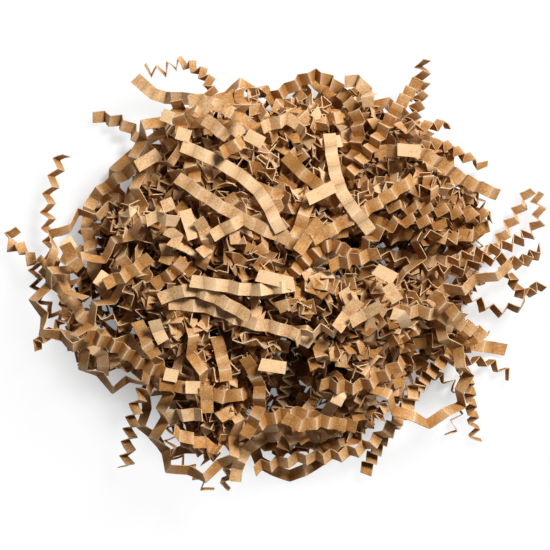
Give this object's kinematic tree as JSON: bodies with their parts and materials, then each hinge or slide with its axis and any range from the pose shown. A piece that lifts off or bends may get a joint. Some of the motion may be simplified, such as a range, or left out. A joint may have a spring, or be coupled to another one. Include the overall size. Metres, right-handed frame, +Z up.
{
  "type": "crinkle cut paper shred nest",
  "caption": "Tangled nest of narrow accordion-folded kraft paper strips, a loose springy heap used as decorative packing or basket filler.",
  "frame": {"origin": "centre of the heap's footprint, on the surface it rests on", "axes": "+X along the heap's longest side, +Y across it, +Z up from the surface"},
  "size_m": [0.1252, 0.1, 0.0378],
  "materials": {
    "kraft_paper": "matte unbleached kraft paper, about 0.2 mm thick, with sharp creases and pale cut edges"
  },
  "bodies": {
    "root": {"bottom_arm": "kraft_paper", "bottom_bend": "kraft_paper", "bottom_curl": "kraft_paper", "bottom_outer_strand": "kraft_paper", "bottom_strand": "kraft_paper", "bottom_zigzag": "kraft_paper", "crown_bright_arm": "kraft_paper", "crown_diagonal": "kraft_paper", "crown_ladder": "kraft_paper", "crown_left_short": "kraft_paper", "crown_low_band": "kraft_paper", "crown_low_flat": "kraft_paper", "crown_low_right": "kraft_paper", "crown_middle_arm": "kraft_paper", "crown_pale_arm": "kraft_paper", "crown_right_wave": "kraft_paper", "crown_short_flat": "kraft_paper", "crown_steep_arm": "kraft_paper", "crown_top_flat": "kraft_paper", "crown_under_band": "kraft_paper", "far_left_strand": "kraft_paper", "far_right_strand": "kraft_paper", "flat_tail": "kraft_paper", "inner_strip_1_1": "kraft_paper", "inner_strip_1_2": "kraft_paper", "inner_strip_1_3": "kraft_paper", "inner_strip_2_1": "kraft_paper", "inner_strip_2_2": "kraft_paper", "inner_strip_3_1": "kraft_paper", "inner_strip_3_2": "kraft_paper", "left_arc": "kraft_paper", "left_face_strand": "kraft_paper", "left_loop": "kraft_paper", "left_low_arm": "kraft_paper", "left_outer_strand": "kraft_paper", "left_thin_strand": "kraft_paper", "low_left_strand": "kraft_paper", "lower_left_arm": "kraft_paper", "lower_left_spring": "kraft_paper", "lower_right_arm": "kraft_paper", "lower_right_spring": "kraft_paper", "lower_right_tail": "kraft_paper", "lower_right_wisp": "kraft_paper", "ridged_strand": "kraft_paper", "right_arm": "kraft_paper", "right_fan": "kraft_paper", "right_hook": "kraft_paper", "right_long_strand": "kraft_paper", "right_low_arm": "kraft_paper", "right_tail": "kraft_paper", "right_upper_arm": "kraft_paper", "top_arm": "kraft_paper", "top_left_flap": "kraft_paper", "top_left_loop": "kraft_paper", "top_right_arm": "kraft_paper", "top_right_coil": "kraft_paper", "top_right_curl": "kraft_paper", "upper_left_ladder": "kraft_paper", "upper_left_tail": "kraft_paper", "upper_right_zigzag": "kraft_paper"}
  },
  "joints": []
}
